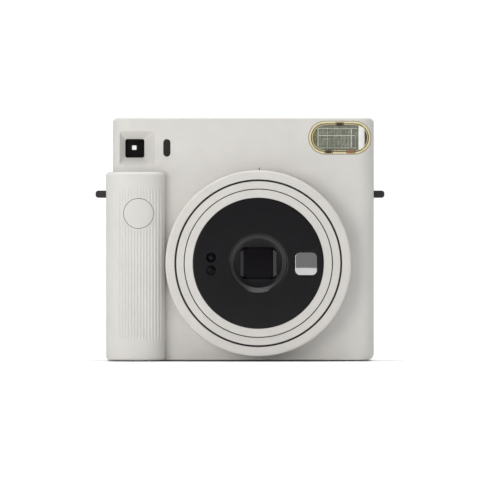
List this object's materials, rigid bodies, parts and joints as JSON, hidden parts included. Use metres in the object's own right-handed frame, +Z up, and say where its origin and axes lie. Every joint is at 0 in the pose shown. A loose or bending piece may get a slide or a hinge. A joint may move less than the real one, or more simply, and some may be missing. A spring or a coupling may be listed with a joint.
{
  "type": "instant camera",
  "caption": "Square-format instant film camera with a ribbed grip, round lens with a turning ring, flash, viewfinder and a hinged film door at the back.",
  "frame": {"origin": "under the middle of the camera, at the level of the feet it stands on", "axes": "-Y is the front with the lens, +X is the right of someone looking at the front, +Z is up"},
  "size_m": [0.1412, 0.0576, 0.1186],
  "materials": {
    "shell": "fine matt texture",
    "ring": "fine matt texture",
    "black_gloss": "polished",
    "black_matte": "matt",
    "clear": "polished",
    "amber": "polished, faint yellow tint",
    "smoke": "polished, dark tint",
    "mirror": "polished",
    "steel": "satin",
    "white_plastic": "satin",
    "board": "satin",
    "rubber": "matt",
    "film": "satin",
    "foil": "satin"
  },
  "bodies": {
    "camera_body": {"front_cover": "shell", "rear_cover": "shell", "hinge_pin": "steel", "counter_window": "clear", "viewfinder_glass": "smoke", "viewfinder_tunnel": "black_matte", "eyepiece_frame": "black_matte", "eyepiece_glass": "clear", "sensor_window": "smoke", "flash_window": "amber", "flash_lens": "clear", "flash_reflector": "mirror", "flash_tube": "clear", "flash_capacitor": "black_gloss", "circuit_board": "board", "lens_band": "ring", "light_baffle": "black_matte", "chassis": "black_matte", "motor": "steel", "film_pack": "black_matte", "film_stack": "film", "battery_upper": "foil", "battery_lower": "foil", "battery_holder": "black_matte", "battery_contact_top": "steel", "battery_contact_bottom": "steel", "shutter_switch": "black_matte", "strap_lug_left": "black_matte", "strap_lug_right": "black_matte", "foot_front_left": "rubber", "foot_front_right": "rubber", "foot_back_left": "rubber", "foot_back_right": "rubber", "body_screw_left": "steel", "body_screw_right": "steel"},
    "control_ring": {"lens_ring": "ring"},
    "lens_unit": {"lens_barrel": "ring", "front_disc": "black_gloss", "lens_window": "smoke", "taking_lens": "clear", "shutter_plate": "black_matte", "selfie_mirror": "mirror", "sensor_eye_upper": "smoke", "sensor_eye_lower": "smoke"},
    "shutter_leaf_left": {"shutter_blade_left": "steel"},
    "shutter_leaf_right": {"shutter_blade_right": "steel"},
    "release_button": {"shutter_button": "shell"},
    "door": {"film_door": "shell", "film_window": "amber"},
    "latch": {"door_latch": "black_matte"},
    "power_cover": {"battery_cover": "shell"},
    "slot_flap": {"exit_flap": "black_matte"},
    "front_roller": {"roller_front": "steel", "roller_gear_front": "white_plastic"},
    "rear_roller": {"roller_rear": "steel", "roller_gear_rear": "white_plastic"},
    "idler": {"idler_gear": "white_plastic"},
    "pinion": {"motor_pinion": "steel"},
    "frame_counter": {"counter_dial": "white_plastic"},
    "claw": {"pick_claw": "steel"}
  },
  "joints": [
    {"name": "ring_turn", "type": "hinge", "parent": "camera_body", "child": "control_ring", "pos_m": [0.0089, -0.02835, 0.0478], "axis": [0, 1, 0], "range_deg": [0, 55]},
    {"name": "lens_slide", "type": "slide", "parent": "camera_body", "child": "lens_unit", "axis": [0, -1, 0], "range_m": [0, 0.005]},
    {"name": "leaf_left_swing", "type": "hinge", "parent": "lens_unit", "child": "shutter_leaf_left", "pos_m": [-0.0041, -0.0159, 0.0556], "axis": [0, 1, 0], "range_deg": [0, 52], "stiffness_Nm_per_rad": 0.01, "springref_deg": -11.46},
    {"name": "leaf_right_swing", "type": "hinge", "parent": "lens_unit", "child": "shutter_leaf_right", "pos_m": [0.0219, -0.0152, 0.0556], "axis": [0, -1, 0], "range_deg": [0, 52]},
    {"name": "button_press", "type": "slide", "parent": "camera_body", "child": "release_button", "axis": [0, 1, 0], "range_m": [0, 0.0012], "stiffness_N_per_m": 500, "springref_m": -0.0006},
    {"name": "door_swing", "type": "hinge", "parent": "camera_body", "child": "door", "pos_m": [0.0631, 0.0265, 0], "axis": [0, 0, -1], "range_deg": [0, 105]},
    {"name": "latch_slide", "type": "slide", "parent": "door", "child": "latch", "axis": [1, 0, 0], "range_m": [0, 0.003], "stiffness_N_per_m": 300, "springref_m": -0.001},
    {"name": "battery_cover_swing", "type": "hinge", "parent": "camera_body", "child": "power_cover", "pos_m": [-0.06435, 0.0214, 0.0072], "axis": [0, 0, -1], "range_deg": [0, 95]},
    {"name": "flap_swing", "type": "hinge", "parent": "camera_body", "child": "slot_flap", "pos_m": [0.0089, 0.0119, 0.1176], "axis": [-1, 0, 0], "range_deg": [0, 75], "stiffness_Nm_per_rad": 0.01, "springref_deg": -11.46},
    {"name": "front_roller_spin", "type": "hinge", "parent": "camera_body", "child": "front_roller", "pos_m": [0.0089, 0.0057, 0.1073], "axis": [1, 0, 0], "continuous": true},
    {"name": "rear_roller_spin", "type": "hinge", "parent": "camera_body", "child": "rear_roller", "pos_m": [0.0089, 0.0155, 0.1073], "axis": [1, 0, 0], "continuous": true},
    {"name": "idler_spin", "type": "hinge", "parent": "camera_body", "child": "idler", "pos_m": [0.0514, 0.00498, 0.09612], "axis": [1, 0, 0], "continuous": true},
    {"name": "pinion_spin", "type": "hinge", "parent": "camera_body", "child": "pinion", "pos_m": [0.0514, -0.0044, 0.095], "axis": [1, 0, 0], "continuous": true},
    {"name": "dial_turn", "type": "hinge", "parent": "camera_body", "child": "frame_counter", "pos_m": [-0.05, 0.0252, 0.0752], "axis": [0, 1, 0], "range_deg": [0, 330]},
    {"name": "claw_lift", "type": "slide", "parent": "camera_body", "child": "claw", "axis": [0, 0, 1], "range_m": [0, 0.006]}
  ],
  "couplings": [
    {"joint": "lens_slide", "follows": "ring_turn", "m_per_rad": 0.0052},
    {"joint": "leaf_right_swing", "follows": "leaf_left_swing", "ratio": 1},
    {"joint": "rear_roller_spin", "follows": "front_roller_spin", "ratio": -1},
    {"joint": "idler_spin", "follows": "front_roller_spin", "ratio": -0.77778},
    {"joint": "pinion_spin", "follows": "front_roller_spin", "ratio": 1.5556}
  ]
}
